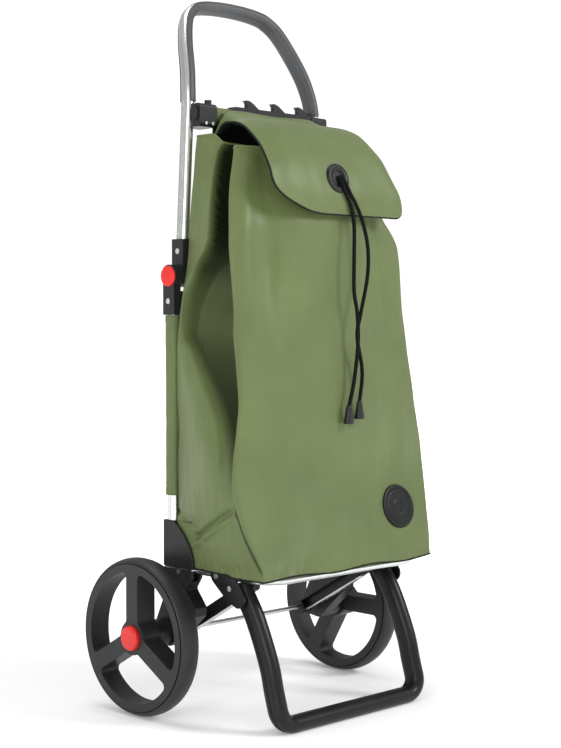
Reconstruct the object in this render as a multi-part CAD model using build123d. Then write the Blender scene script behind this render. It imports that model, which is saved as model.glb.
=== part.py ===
from build123d import *
import os
from math import cos, radians, sin

# Two-wheeled folding shopping trolley. Millimetres, +Z up, +X to the right seen from the front.
# The front faces -Y. The right-hand parts are drawn and mirrored. Everything is drawn with the axle
# above y = 0 and then moved back, so that the origin is on the ground in the middle of the footprint.
FOOTPRINT_SHIFT = 57.5

# Overall layout
FRAME_X = 153.0
FRAME_Y = -12.5
TUBE_ACROSS = 14.0
TUBE_DEEP = 20.0
TUBE_WALL = 1.5
SLIDE = 0.05
CROSS_TUBE = (FRAME_Y, 236.0)

# Wheels and axle
WHEEL_R = 110.0
TYRE_INNER_R = 102.0
WINDOW_R = 91.0
HUB_R = 24.0
WHEEL_IN_X = 187.5
WHEEL_OUT_X = 219.0
AXLE_R = 3.25
AXLE_END_X = 210.0
CAP_R = 17.5
CAP_FLOOR_X = 210.4
CAP_IN_X = 213.4
CAP_OUT_X = 226.0
SPOKE_WIDTH = 24.0

# Folding hinge of the handle
HINGE_Z = 611.0
EAR_R = 16.0
EAR_X = 149.0
HOUSING_OUT_X = 161.2
BUTTON_R = 14.5
BUTTON_PROUD = 2.5
PIN_R = 4.0

# Platform linkage, side view (y, z)
PLATFORM_PIVOT = (-33.0, 200.0)
PLATE_PIVOT = (-108.0, 202.0)
BRACE_PIVOT = (-135.0, 188.0)
AXLE = (0.0, WHEEL_R)
PLATFORM_X = 149.5
PLATFORM_R = 5.5
PLATFORM_Z = 203.0
PLATFORM_FRONT_Y = -204.0
PLATE_IN_X = 155.9
PLATE_OUT_X = 158.9
BRACE_IN_X = 110.0
BRACE_OUT_X = 123.0
BRACE_WIDTH = 17.0
LINK_PIN_R = 2.0

# Crossbar of the handle loop
BAR_Y = -30.5
BAR_Z = 838.0
BAR_SLEEVE_X = 94.0
HOOK_TIPS = (-35.0, 18.0, 68.0)

# Cover flap
FLAP_HALF_WIDTH = 138.0
FLAP_LOW_Z = 703.0
FLAP_THICK = 2.4

os.makedirs("parts", exist_ok=True)


def write(shape, name):
    export_step(Pos(0, FOOTPRINT_SHIFT, 0) * shape, f"parts/{name}.step")


def group(*solids):
    return Compound(children=list(solids))


def mirrored(shape):
    return mirror(shape, about=Plane.YZ)


def write_pair(right, name):
    write(right, f"{name}_right")
    write(mirrored(right), f"{name}_left")


def block(x0, x1, y0, y1, z0, z1):
    return Pos((x0 + x1) / 2, (y0 + y1) / 2, (z0 + z1) / 2) * Box(x1 - x0, y1 - y0, z1 - z0)


def rod_x(x0, x1, centre, radius):
    return Pos((x0 + x1) / 2, centre[0], centre[1]) * Rot(0, 90, 0) * Cylinder(radius, x1 - x0)


def plate_x(outline, x0, x1):
    """A plate between two x positions, its outline drawn in side view (y, z)."""
    return extrude(Plane.YZ.offset(x0) * outline, x1 - x0)


def polygon(points):
    return make_face(Polyline(*points, close=True))


def oval(across, deep, grow=0.0):
    """Flat-sided oval, long side along local y."""
    return SlotOverall(deep + 2 * grow, across + 2 * grow, rotation=90)


def oval_post(x, y, z0, z1, grow=0.0):
    return extrude(Pos(x, y, z0) * oval(TUBE_ACROSS, TUBE_DEEP, grow), z1 - z0)


def on_sheet(sheet, x, s):
    """Point, tangent along the sheet and front normal at length s down a side-view curve."""
    point = sheet.position_at(s, position_mode=PositionMode.LENGTH)
    along = sheet.tangent_at(s, position_mode=PositionMode.LENGTH)
    return Vector(x, point.Y, point.Z), along, Vector(0, -along.Z, along.Y)


def loop_frames(half_path, sheet, count, start=0.0):
    """Section planes along a loop drawn flat as (x, length along the sheet) and bent with the sheet.

    Local x points to the inside of the loop and local y to its front.
    """
    stations = []
    for i in range(count + 1):
        at = start + (1 - start) * i / count
        point = half_path.position_at(at)
        heading = half_path.tangent_at(at)
        stations.append((point.X, point.Y, heading.X, heading.Y))
    other = [(-x, s, dx, -ds) for x, s, dx, ds in reversed(stations[:-1])]
    frames = []
    for x, s, dx, ds in stations + other:
        point, along, front = on_sheet(sheet, x, s)
        heading = Vector(dx, 0, 0) + along * ds
        frames.append(Plane(origin=point, x_dir=front.cross(heading), z_dir=heading))
    return frames


def swept(frames, section):
    return loft([frame * section for frame in frames])


# ---- lower frame ---------------------------------------------------------------------------------


def lower_tube():
    outer = oval_post(FRAME_X, FRAME_Y, 170, 590)
    inner = oval_post(FRAME_X, FRAME_Y, 170, 590, -TUBE_WALL)
    groove = block(FRAME_X + TUBE_ACROSS / 2 - 0.6, FRAME_X + TUBE_ACROSS, -1, 1, 170, 590)
    grooves = Pos(0, FRAME_Y - 1.8, 0) * groove + Pos(0, FRAME_Y + 1.8, 0) * groove
    return outer - inner - grooves


def tube_socket():
    """Space taken by a lower tube and its sliding fit in the moulded parts."""
    return oval_post(FRAME_X, FRAME_Y, 169.9, 590.1, 0.05)


def cross_tube():
    return rod_x(-145.9, 145.9, CROSS_TUBE, 6) - rod_x(-146, 146, CROSS_TUBE, 4.8)


def corner_guard():
    rear, low, top = -1.0, 205.2, 270.0
    curve = [(-21, top), (-34, 262), (-46, 250), (-57, 235), (-63, 219), (-64, low)]
    plate = plate_x(polygon([(rear, low), (rear, top)] + curve), 159.6, 162.2)
    socket = block(143.4, 162.2, -24.7, rear, low, top)
    body = plate + socket - tube_socket() - rod_x(140, 146, CROSS_TUBE, 6.05)
    return fillet(body.faces().sort_by(Axis.X)[-1].edges(), 1.0)


def guard_trim():
    return block(155.6, 162.6, -62, -4, 203.3, 205.0) - tube_socket()


def wheel_bracket():
    upper = [(0, 203), (-58, 203), (-58, 192), (-47, 176)]
    lower = [(-67, 152), (-66, 140), (-14, 92), (16, 96), (19, 120), (0, 160)]
    side = fillet(polygon(upper + lower).vertices().filter_by(lambda v: v.Y < 200), 4)
    arm = plate_x(side, 139.4, 161.0) + rod_x(150, 187.0, AXLE, 20)
    slot = block(143.4, 155.6, -80, -23.6, 187, 210)
    pin_hole = rod_x(141.0, 165, PLATFORM_PIVOT, LINK_PIN_R)
    return arm - slot - tube_socket() - rod_x(130, 190, AXLE, AXLE_R) - pin_hole


def axle_rod():
    rod = rod_x(-AXLE_END_X, AXLE_END_X, AXLE, AXLE_R)
    return chamfer(rod.edges(), 0.6)


def lower_housing():
    body = Pos(FRAME_Y, 584) * Rectangle(23.4, 54)
    shell = plate_x(body, 145.0, HOUSING_OUT_X) - block(140, EAR_X, -40, 20, 590.3, 640)
    ear = plate_x(Pos(FRAME_Y, HINGE_Z) * Circle(EAR_R), EAR_X, HOUSING_OUT_X)
    body = shell + ear - tube_socket() - lower_rivet()
    body -= rod_x(154.4, 170, (FRAME_Y, HINGE_Z), BUTTON_R + SLIDE)
    return body - rod_x(140, 153.6, (FRAME_Y, HINGE_Z), PIN_R + SLIDE)


def hinge_button():
    inner = HOUSING_OUT_X + BUTTON_PROUD - 5.0
    disc = rod_x(inner, HOUSING_OUT_X + BUTTON_PROUD, (FRAME_Y, HINGE_Z), BUTTON_R)
    return fillet(disc.edges().sort_by(Axis.X)[-1], 1.5)


def lower_rivet():
    centre = (FRAME_Y, 576)
    return rod_x(160.2, 161.0, centre, 2) + rod_x(161.0, 162.4, centre, 4)


def tube_sleeve():
    low, top = 305, 556.5
    return oval_post(FRAME_X, FRAME_Y, low, top, 1.3) - oval_post(FRAME_X, FRAME_Y, low, top, 0.1)


def platform_pin():
    return rod_x(141.0, 161.05, PLATFORM_PIVOT, LINK_PIN_R) + rod_x(161.05, 162.4, PLATFORM_PIVOT, 3.2)


# ---- upper frame ---------------------------------------------------------------------------------

# Side view of the handle loop: straight up, bent back through 24 degrees, straight again.
BEND_Z = 843.0
BEND_R = 200.0
BEND_ANGLE = 24.0
LOOP_LOW_Z = 616.5
LOOP_LOW_X = 137.2


def loop_sheet():
    upright = Line((0, FRAME_Y, LOOP_LOW_Z), (0, FRAME_Y, BEND_Z))
    turn = radians(BEND_ANGLE)
    half = (0, FRAME_Y + BEND_R * (1 - cos(turn / 2)), BEND_Z + BEND_R * sin(turn / 2))
    end = Vector(0, FRAME_Y + BEND_R * (1 - cos(turn)), BEND_Z + BEND_R * sin(turn))
    bend = ThreePointArc((0, FRAME_Y, BEND_Z), half, end)
    lean = Line(end, end + Vector(0, sin(turn), cos(turn)) * 100)
    return Wire([upright, bend, lean])


def loop_path():
    """Right half of the loop laid flat: tapering leg, then a curve over to the middle."""
    leg_top = (124.8, 238.0)
    leg = Line((LOOP_LOW_X, 0), leg_top)
    shoulder = Spline(
        leg_top, (119.8, 278.5), (108.7, 327.0), (91.9, 370.7), (72.8, 390.4), (54.5, 397.0), (0, 401.3),
        tangents=(leg % 1, (-1, 0)),
    )
    return Wire([leg, shoulder])


GRIP_START = 0.53


def upper_loop():
    frames = loop_frames(loop_path(), loop_sheet(), 30)
    outer = swept(frames, oval(TUBE_ACROSS, TUBE_DEEP))
    return outer - swept(frames, oval(TUBE_ACROSS, TUBE_DEEP, -TUBE_WALL))


def handle_grip():
    section = oval(TUBE_ACROSS, TUBE_DEEP, 2.4) - oval(TUBE_ACROSS, TUBE_DEEP, 0.15)
    section -= Pos(-13.5, 0) * Rectangle(20, 40)
    return swept(loop_frames(loop_path(), loop_sheet(), 18, GRIP_START), section)


def leg_space(z0, z1):
    """Space of a handle leg between two heights, leaning inward as the loop does."""
    slope = (LOOP_LOW_X - 124.8) / 238.0
    low = Pos(LOOP_LOW_X - slope * (z0 - LOOP_LOW_Z), FRAME_Y, z0) * oval(TUBE_ACROSS, TUBE_DEEP, 0.25)
    high = Pos(LOOP_LOW_X - slope * (z1 - LOOP_LOW_Z), FRAME_Y, z1) * oval(TUBE_ACROSS, TUBE_DEEP, 0.25)
    return loft([low, high])


def upper_housing():
    body = plate_x(Pos(FRAME_Y, 637) * Rectangle(23.4, 52), 127.0, 144.9)
    ear = plate_x(Pos(FRAME_Y, HINGE_Z) * Circle(EAR_R - 0.5), 127.0, 148.7)
    shape = body + ear - leg_space(615.4, 664) - upper_rivet()
    return shape - rod_x(131.9, 160, (FRAME_Y, HINGE_Z), PIN_R)


def hinge_pin():
    return rod_x(132.0, 153.4, (FRAME_Y, HINGE_Z), PIN_R)


def upper_rivet():
    centre = (FRAME_Y, 646)
    return rod_x(144.2, 144.97, centre, 4)


def crossbar_tube():
    section = SlotOverall(TUBE_DEEP, TUBE_ACROSS, rotation=90)
    bore = SlotOverall(TUBE_DEEP - 2 * TUBE_WALL, TUBE_ACROSS - 2 * TUBE_WALL, rotation=90)
    return plate_x(Pos(BAR_Y, BAR_Z) * (section - bore), -127.0, 127.0)


def crossbar_space(x0, x1):
    return plate_x(Pos(BAR_Y, BAR_Z) * SlotOverall(TUBE_DEEP + 0.1, TUBE_ACROSS + 0.1, rotation=90), x0, x1)


def crossbar_cap():
    section = Pos(BAR_Y, BAR_Z) * SlotOverall(TUBE_DEEP, TUBE_ACROSS, rotation=90)
    return plate_x(section, 127.05, 129.5)


def crossbar_clamp():
    low, high = 819.5, 852.0
    side = Pos((-41.0 - 0.5) / 2, (low + high) / 2) * RectangleRounded(40.5, high - low, 5)
    body = plate_x(side, 95.5, 127.0)
    knob = Pos(103, BAR_Y, high) * Cylinder(5, 6, align=(Align.CENTER, Align.CENTER, Align.MIN))
    shape = body + knob - crossbar_space(90, 140) - leg_space(815, 856)
    return shape - clamp_screw(104) - clamp_screw(116)


def clamp_screw(x):
    return Pos(x, -41.6, 824.5) * Rot(90, 0, 0) * Cylinder(2.2, 1.6)


def crossbar_sleeve():
    outer = SlotOverall(TUBE_DEEP + 2.6, TUBE_ACROSS + 2.6, rotation=90)
    inner = SlotOverall(TUBE_DEEP + 0.1, TUBE_ACROSS + 0.1, rotation=90)
    return plate_x(Pos(BAR_Y, BAR_Z) * (outer - inner), -BAR_SLEEVE_X, BAR_SLEEVE_X)


def hook(tip_x):
    """Fin-shaped hook leaning to -X, seen from the front: hollow front edge, rounded back."""
    low, tip_z = 851.0, 864.0
    hollow = ThreePointArc((tip_x - 1, low), (tip_x + 5, 857.0), (tip_x, tip_z))
    back = Spline((tip_x, tip_z), (tip_x + 17, 860.5), (tip_x + 29, low + 2), (tip_x + 39, low))
    fin = make_face([hollow, back, Line(back @ 1, hollow @ 0)])
    return extrude(Plane.XZ.offset(27.5) * fin, 7)


def hook_strip():
    """Moulding over the crossbar: flat top, boat-shaped apron down its front and three hooks."""
    left, right, top = -72.0, 93.0, 852.2
    strip = block(left + 12, right, -41.4, -24.5, 849.4, top)
    edge = Spline((left, 846), (-50, 838.5), (-20, 835), (40, 834.2), (right, 835.5))
    apron = make_face([edge, Polyline(edge @ 1, (right, top), (left + 12, top), edge @ 0)])
    strip += extrude(Plane.XZ.offset(39.0) * apron, 2.4)
    for tip_x in HOOK_TIPS:
        strip += hook(tip_x)
    return strip - block(right, right + 60, -60, 0, 820, 880)


# ---- cover flap ----------------------------------------------------------------------------------


def flap_band(thickness):
    """The cover in side view, from the crossbar over the mouth and down the front, as wide as needed."""
    rear = [(-46.5, 843.5), (-80, 829), (-112, 826), (-142, 812)]
    line = Spline(*rear, (-167, 785), (-184, 752), (-191, 722), (-190.5, 690))
    return extrude(Plane.YZ.offset(-150) * trace(line, thickness), 300)


def flap_outline(inset):
    """Front view of the cover, extruded through its depth."""
    half = FLAP_HALF_WIDTH - inset
    low = FLAP_LOW_Z + inset
    shape = Pos(0, (low + 900) / 2) * Rectangle(2 * half, 900 - low)
    rounded = fillet(shape.vertices().group_by(Axis.Y)[0], 26 - inset)
    return extrude(Plane.XZ * rounded, 250)


GROMMET_Z = 746.0
GROMMET_Y = -185.8
GROMMET_LEAN = 13.0


def at_grommet(shape):
    return Pos(0, GROMMET_Y, GROMMET_Z) * Rot(90 - GROMMET_LEAN, 0, 0) * shape


def bag_flap():
    return (flap_band(FLAP_THICK) & flap_outline(4.3)) - at_grommet(Cylinder(12.9, 20)) - grommet()


def flap_piping():
    return flap_band(FLAP_THICK + 1.8) & (flap_outline(0) - flap_outline(4.2))


def grommet():
    ring = Cylinder(18.5, 6.4) - Cylinder(9, 7) - (Cylinder(20, 4) - Cylinder(12.6, 4))
    return at_grommet(ring)


# ---- bag, badge and cords ------------------------------------------------------------------------

BAG_WALL = 3.0
BAG_LEVELS = [
    # z, back edge (x, y), side valley (x, y), front ridge (x, y), front middle y
    (210.0, (155, -25.5), (156, -72), (169, -208), -213),
    (270.0, (157, -25.5), (157, -72), (183.5, -193), -199),
    (330.0, (159, -25.5), (169, -90), (192, -178), -190),
    (440.0, (158, -27), (164, -95), (178, -172), -185),
    (540.0, (155, -29.5), (156, -78), (174, -155), -182),
    (640.0, (143, -29.5), (135, -66), (173, -143), -180),
    (716.0, (131, -27.5), (106, -62), (158, -127), -176),
    (788.0, (121, -28.5), (94, -62), (139, -116), -158),
]


def bag_section(level, inset):
    """Cross-section of the bag with pleated sides, drawn inside its outline by the inset."""
    z, back, valley, ridge, front_y = level
    middle_y = (back[1] + front_y) / 2
    half_depth = (back[1] - front_y) / 2
    shrink_x = 1 - inset / ridge[0]
    shrink_y = 1 - inset / half_depth
    half = [back, valley, ridge, (70, front_y)]
    right = [(x * shrink_x, middle_y + (y - middle_y) * shrink_y) for x, y in half]
    left = [(-x, y) for x, y in reversed(right)]
    return Pos(0, 0, z) * polygon(right + left)


def bag_body():
    outer = loft([bag_section(level, 0) for level in BAG_LEVELS], ruled=True)
    levels = list(BAG_LEVELS)
    floor = levels[0]
    levels[0] = (floor[0] + BAG_WALL,) + floor[1:]
    rim = levels[-1]
    levels[-1] = (rim[0] + 0.5,) + rim[1:]
    return outer - loft([bag_section(level, BAG_WALL) for level in levels], ruled=True)


BADGE_X = 114.0
BADGE_Z = 282.0
BADGE_R = 31.5


def badge():
    disc = Cylinder(BADGE_R, 4) - Pos(0, 0, 1.6) * (Cylinder(25, 1.2) - Cylinder(21, 2))
    disc = fillet(disc.edges().filter_by(GeomType.CIRCLE).sort_by(SortBy.RADIUS)[-1], 1)
    return Pos(BADGE_X, -201.5, BADGE_Z) * Rot(77, 0, 4) * disc


def draw_cord(path_points):
    path = Spline(*path_points)
    return sweep(Plane(origin=path @ 0, z_dir=path % 0) * Circle(1.7), path=path)


CORD_Y = -197.0
LEFT_CORD = [(-3, -180, 746), (-2, -193, 744), (7, -198, 728)]
LEFT_CORD += [(x, CORD_Y, z) for x, z in ((17, 690), (20, 600), (27, 560), (28, 519), (20, 465), (8, 428))]
RIGHT_CORD = [(3, -180, 748), (4, -193, 747), (16, -198, 735)]
RIGHT_CORD += [(x, CORD_Y, z) for x, z in ((33, 700), (47, 645), (44, 600), (31, 554), (26, 527))]
RIGHT_CORD += [(35, CORD_Y, 478), (30, CORD_Y, 433)]


def cord_end(path_points):
    x, y, z = path_points[-1]
    return Pos(x, y, z - 11) * Cone(6.5, 3, 20)


# ---- platform, foot and braces -------------------------------------------------------------------


def platform_tube():
    bend = 33.0
    rear = PLATFORM_PIVOT[0] + 7
    x, y = PLATFORM_X, PLATFORM_FRONT_Y
    corners = FilletPolyline((x, rear), (x, y), (-x, y), (-x, rear), radius=bend)
    path = Pos(0, 0, PLATFORM_Z) * corners
    ring = Circle(PLATFORM_R) - Circle(PLATFORM_R - 1.2)
    tube = sweep(Plane(origin=path @ 0, z_dir=path % 0) * ring, path=path)
    for pivot in (PLATFORM_PIVOT, PLATE_PIVOT):
        tube -= rod_x(-170, 170, pivot, LINK_PIN_R + SLIDE)
    y, z = PLATFORM_PIVOT
    swing_corner = polygon([(y + 2, z + 9), (y + 6.4, z + 6), (y + 7.2, z + 4), (y + 7.2, z + 9)])
    return tube - plate_x(swing_corner, -170, 170)


def foot_sheet():
    """Side view of the foot loop, from under the platform forward and down to the ground bar."""
    return Spline((0, -133, 197), (0, -146, 176), (0, -166, 145), (0, -190, 92), (0, -200, 56), (0, -208, 28),
                  (0, -210, 10))


def foot_loop():
    leg_x, bend = 139.0, 24.0
    sheet = foot_sheet()
    end = sheet.length
    leg = Line((leg_x, 0), (leg_x, end - bend))
    turn = JernArc((leg_x, end - bend), (0, 1), bend, 90)
    bar = Line(turn @ 1, (0, end))
    tube = swept(loop_frames(Wire([leg, turn, bar]), sheet, 26), oval(22, 30))
    ground = block(-200, 200, -300, 0, -30, 0)
    underside = block(-200, 200, -170, -80, 195.5, 230)
    pins = rod_x(-170, 170, BRACE_PIVOT, LINK_PIN_R)
    return tube - ground - underside - pins


def foot_side_plate():
    corner = 13.0
    near_b = PLATE_PIVOT
    near_c = BRACE_PIVOT
    outline = Pos(*near_b) * Circle(corner - 2) + Pos(*near_c) * Circle(corner + 4)
    outline += Pos(-150, 176) * Circle(corner)
    outline = make_hull(outline.edges())
    plate = plate_x(outline, PLATE_IN_X, PLATE_OUT_X)
    spacer = plate_x(Pos(-139, 180) * Circle(11), 150.4, PLATE_IN_X)
    shape = plate + spacer - rod_x(140, 170, near_b, LINK_PIN_R) - rod_x(140, 170, near_c, LINK_PIN_R)
    return shape - block(140, 155.8, -200, 0, 194.6, 220) - block(140, 170, -200, 0, 209, 220)


def plate_pin():
    return rod_x(142.5, 158.9, PLATE_PIVOT, LINK_PIN_R) + rod_x(159.0, 160.3, PLATE_PIVOT, 3.8)


def brace_pin():
    return rod_x(124.2, 158.9, BRACE_PIVOT, LINK_PIN_R) + rod_x(159.0, 160.3, BRACE_PIVOT, 3.8)


def brace():
    start = Vector(*AXLE)
    end = Vector(*BRACE_PIVOT)
    along = end - start
    middle = (start + end) / 2
    turn = Vector(1, 0).get_signed_angle(along, Vector(0, 0, 1))

    def bar(width):
        return Pos(middle.X, middle.Y) * SlotCenterToCenter(along.length, width, rotation=turn)

    channel = plate_x(bar(BRACE_WIDTH), BRACE_IN_X, BRACE_OUT_X)
    channel -= plate_x(bar(BRACE_WIDTH - 4.4), BRACE_IN_X - 1, BRACE_OUT_X - 3)
    boss = rod_x(BRACE_IN_X, 130.0, AXLE, 9.5)
    return channel + boss - rod_x(100, 140, AXLE, AXLE_R + SLIDE)


# ---- wheels --------------------------------------------------------------------------------------


def wheel_rim(first_spoke):
    """Rim with three wide spokes; the first one points at the given angle from +Y in side view."""
    windows = Circle(WINDOW_R) - Circle(HUB_R)
    spoke = Pos(WINDOW_R / 2 + 2, 0) * Rectangle(WINDOW_R + 4, SPOKE_WIDTH)
    for i in range(3):
        windows -= Rot(0, 0, first_spoke + 120 * i) * spoke
    windows = fillet(windows.vertices(), 7)
    rim = rod_x(WHEEL_IN_X, WHEEL_OUT_X, AXLE, TYRE_INNER_R)
    rim -= plate_x(Pos(*AXLE) * windows, WHEEL_IN_X - 1, WHEEL_OUT_X + 1)
    rim -= rod_x(WHEEL_IN_X - 1, CAP_FLOOR_X, AXLE, AXLE_R + SLIDE)
    return rim - rod_x(CAP_FLOOR_X, WHEEL_OUT_X + 1, AXLE, CAP_R + SLIDE)


def tyre():
    ring = rod_x(WHEEL_IN_X, WHEEL_OUT_X, AXLE, WHEEL_R) - rod_x(WHEEL_IN_X, WHEEL_OUT_X, AXLE, TYRE_INNER_R)
    outer_edges = ring.edges().filter_by(GeomType.CIRCLE).group_by(SortBy.RADIUS)[-1]
    return fillet(outer_edges, 7)


def hub_cap():
    cap = rod_x(CAP_IN_X, CAP_OUT_X, AXLE, CAP_R)
    return fillet(cap.edges().sort_by(Axis.X)[-1], 4)


# ---- write every sub-part ------------------------------------------------------------------------

write_pair(lower_tube(), "lower_tube")
write(cross_tube(), "back_cross_tube")
write_pair(corner_guard(), "corner_guard")
write_pair(guard_trim(), "guard_trim")
write_pair(wheel_bracket(), "wheel_bracket")
write(axle_rod(), "axle_rod")
write_pair(lower_housing(), "hinge_lower_housing")
write_pair(hinge_button(), "hinge_button")
write(group(lower_rivet(), mirrored(lower_rivet())), "lower_rivets")
write_pair(tube_sleeve(), "tube_sleeve")
write(group(platform_pin(), mirrored(platform_pin())), "platform_pins")

write(upper_loop(), "upper_tube_loop")
write(handle_grip(), "handle_grip")
write_pair(upper_housing(), "hinge_upper_housing")
write(group(hinge_pin(), mirrored(hinge_pin())), "hinge_pins")
write(group(upper_rivet(), mirrored(upper_rivet())), "upper_rivets")
write(crossbar_tube(), "crossbar_tube")
write(group(crossbar_cap(), mirrored(crossbar_cap())), "crossbar_end_caps")
write_pair(crossbar_clamp(), "crossbar_clamp")
clamp_screws = [clamp_screw(104), clamp_screw(116)]
write(group(*clamp_screws, *[mirrored(screw) for screw in clamp_screws]), "clamp_screws")
write(crossbar_sleeve(), "crossbar_sleeve")
write(hook_strip(), "hook_strip")

write(bag_flap(), "bag_flap")
write(flap_piping(), "flap_piping")
write(grommet(), "grommet")

write(bag_body(), "bag_body")
write(badge(), "badge")
write(group(draw_cord(LEFT_CORD), draw_cord(RIGHT_CORD)), "draw_cords")
write(group(cord_end(LEFT_CORD), cord_end(RIGHT_CORD)), "cord_ends")

write(platform_tube(), "platform_tube")
write(foot_loop(), "foot_loop")
write_pair(foot_side_plate(), "foot_side_plate")
write(group(plate_pin(), mirrored(plate_pin())), "plate_pins")
write(group(brace_pin(), mirrored(brace_pin())), "brace_pins")
write_pair(brace(), "brace")

write(wheel_rim(60), "wheel_rim_right")
write(mirrored(wheel_rim(90)), "wheel_rim_left")
write_pair(tyre(), "tyre")
write_pair(hub_cap(), "hub_cap")
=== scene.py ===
import math

import bpy
import numpy as np
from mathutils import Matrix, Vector, noise


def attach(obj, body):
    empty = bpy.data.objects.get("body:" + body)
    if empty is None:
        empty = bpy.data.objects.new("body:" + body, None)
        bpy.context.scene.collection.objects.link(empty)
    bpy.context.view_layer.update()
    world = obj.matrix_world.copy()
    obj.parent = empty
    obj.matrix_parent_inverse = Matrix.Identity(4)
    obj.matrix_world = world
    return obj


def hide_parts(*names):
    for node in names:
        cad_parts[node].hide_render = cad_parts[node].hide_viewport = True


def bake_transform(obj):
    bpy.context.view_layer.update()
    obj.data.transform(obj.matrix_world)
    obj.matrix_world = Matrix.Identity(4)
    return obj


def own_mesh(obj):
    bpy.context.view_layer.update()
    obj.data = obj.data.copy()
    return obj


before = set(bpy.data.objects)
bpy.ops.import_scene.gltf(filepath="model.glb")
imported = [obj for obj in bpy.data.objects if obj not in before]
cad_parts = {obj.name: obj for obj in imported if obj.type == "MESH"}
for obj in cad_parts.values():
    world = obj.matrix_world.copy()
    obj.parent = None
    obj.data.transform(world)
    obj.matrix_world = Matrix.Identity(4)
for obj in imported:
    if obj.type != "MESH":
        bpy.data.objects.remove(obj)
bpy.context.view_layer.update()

MM = 0.001  # shapes below are drawn in millimetres
SHIFT = np.array([0, 57.5, 0])  # and with the axle above y = 0, which the shared frame has at y = 57.5


# ---- small geometry helpers ----


def hermite(x, xs, ys):
    """Smooth interpolation of a table, without overshoot between its points."""
    xs = np.asarray(xs, float)
    ys = np.asarray(ys, float)
    step = np.diff(xs)
    slope = np.diff(ys) / step
    tangent = np.zeros_like(ys)
    tangent[0], tangent[-1] = slope[0], slope[-1]
    for i in range(1, len(xs) - 1):
        if slope[i - 1] * slope[i] > 0:
            tangent[i] = 2 * slope[i - 1] * slope[i] / (slope[i - 1] + slope[i])
    x = np.clip(np.asarray(x, float), xs[0], xs[-1])
    i = np.clip(np.searchsorted(xs, x) - 1, 0, len(step) - 1)
    t = (x - xs[i]) / step[i]
    h = step[i]
    return ((2 * t**3 - 3 * t**2 + 1) * ys[i] + (t**3 - 2 * t**2 + t) * h * tangent[i]
            + (3 * t**2 - 2 * t**3) * ys[i + 1] + (t**3 - t**2) * h * tangent[i + 1])


def smooth_line(points, count):
    """A smooth line through points, sampled at equal distances."""
    points = np.asarray(points, float)
    ends = np.vstack([2 * points[0] - points[1], points, 2 * points[-1] - points[-2]])
    out = []
    for i in range(1, len(ends) - 2):
        p0, p1, p2, p3 = ends[i - 1 : i + 3]
        for t in np.linspace(0, 1, 24, endpoint=False):
            out.append(0.5 * (2 * p1 + (p2 - p0) * t + (2 * p0 - 5 * p1 + 4 * p2 - p3) * t**2
                              + (3 * p1 - p0 - 3 * p2 + p3) * t**3))
    out.append(points[-1])
    return resample(np.array(out), count)


def line_length(line):
    """Length of a line from its start to each of its points."""
    return np.concatenate([[0], np.cumsum(np.linalg.norm(np.diff(line, axis=0), axis=1))])


def resample(line, count):
    length = line_length(line)
    at = np.linspace(0, length[-1], count)
    return np.stack([np.interp(at, length, line[:, k]) for k in range(line.shape[1])], axis=1)


def unit(v):
    return v / np.maximum(np.linalg.norm(v, axis=-1, keepdims=True), 1e-12)


def smoothstep(x, low, high):
    t = np.clip((x - low) / (high - low), 0, 1)
    return t * t * (3 - 2 * t)


def bump(x, centre, width):
    return np.exp(-(((x - centre) / width) ** 2))


def add_mesh(name, verts, faces, uvs=None):
    """Smooth-shaded mesh from points in millimetres."""
    mesh = bpy.data.meshes.new(name)
    verts = (np.asarray(verts, float) + SHIFT) * MM
    mesh.from_pydata([tuple(v) for v in verts], [], [tuple(f) for f in faces])
    mesh.update()
    mesh.polygons.foreach_set("use_smooth", [True] * len(mesh.polygons))
    if uvs is not None:
        layer = mesh.uv_layers.new(name="UVMap")
        index = np.zeros(len(mesh.loops), int)
        mesh.loops.foreach_get("vertex_index", index)
        layer.data.foreach_set("uv", (np.asarray(uvs, float)[index] * MM).ravel())
    obj = bpy.data.objects.new(name, mesh)
    bpy.context.collection.objects.link(obj)
    return obj


def grid_faces(rows, cols, wrap, start=0, flip=False):
    faces = []
    for r in range(rows - 1):
        for c in range(cols if wrap else cols - 1):
            d = (c + 1) % cols
            here, above = start + r * cols, start + (r + 1) * cols
            quad = (here + c, here + d, above + d, above + c)
            faces.append(quad[::-1] if flip else quad)
    return faces


def grid_uv(points):
    """Real distances along both directions of a grid, for textures with a true scale."""
    rows, cols, _ = points.shape
    across = np.linalg.norm(np.diff(points, axis=1), axis=2)
    u = np.concatenate([np.zeros((rows, 1)), np.cumsum(across, axis=1)], axis=1)
    u -= u[:, cols // 2 : cols // 2 + 1]
    along = np.linalg.norm(np.diff(points, axis=0), axis=2)
    v = np.concatenate([np.zeros((1, cols)), np.cumsum(along, axis=0)], axis=0)
    return np.stack([u, v], axis=2)


def grid_normals(points, wrap, row, col, axis):
    """Normals of a grid, on the side where the one at (row, col) points along an axis."""
    if wrap:
        du = np.roll(points, -1, axis=1) - np.roll(points, 1, axis=1)
    else:
        du = np.gradient(points, axis=1)
    dv = np.gradient(points, axis=0)
    normals = unit(np.cross(du, dv))
    return normals * np.sign(normals[row, col, axis])


def sweep(name, centres, side, up, profile):
    """Tube of a given section along a line. side and up are the section's axes at each point."""
    profile = np.asarray(profile, float)
    across, deep = profile[None, :, 0:1], profile[None, :, 1:2]
    points = centres[:, None, :] + side[:, None, :] * across + up[:, None, :] * deep
    rows, cols, _ = points.shape
    faces = grid_faces(rows, cols, True)
    faces.append(tuple(range(cols))[::-1])
    faces.append(tuple((rows - 1) * cols + c for c in range(cols)))
    return add_mesh(name, points.reshape(-1, 3), faces, uvs=grid_uv(points).reshape(-1, 2))


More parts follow.
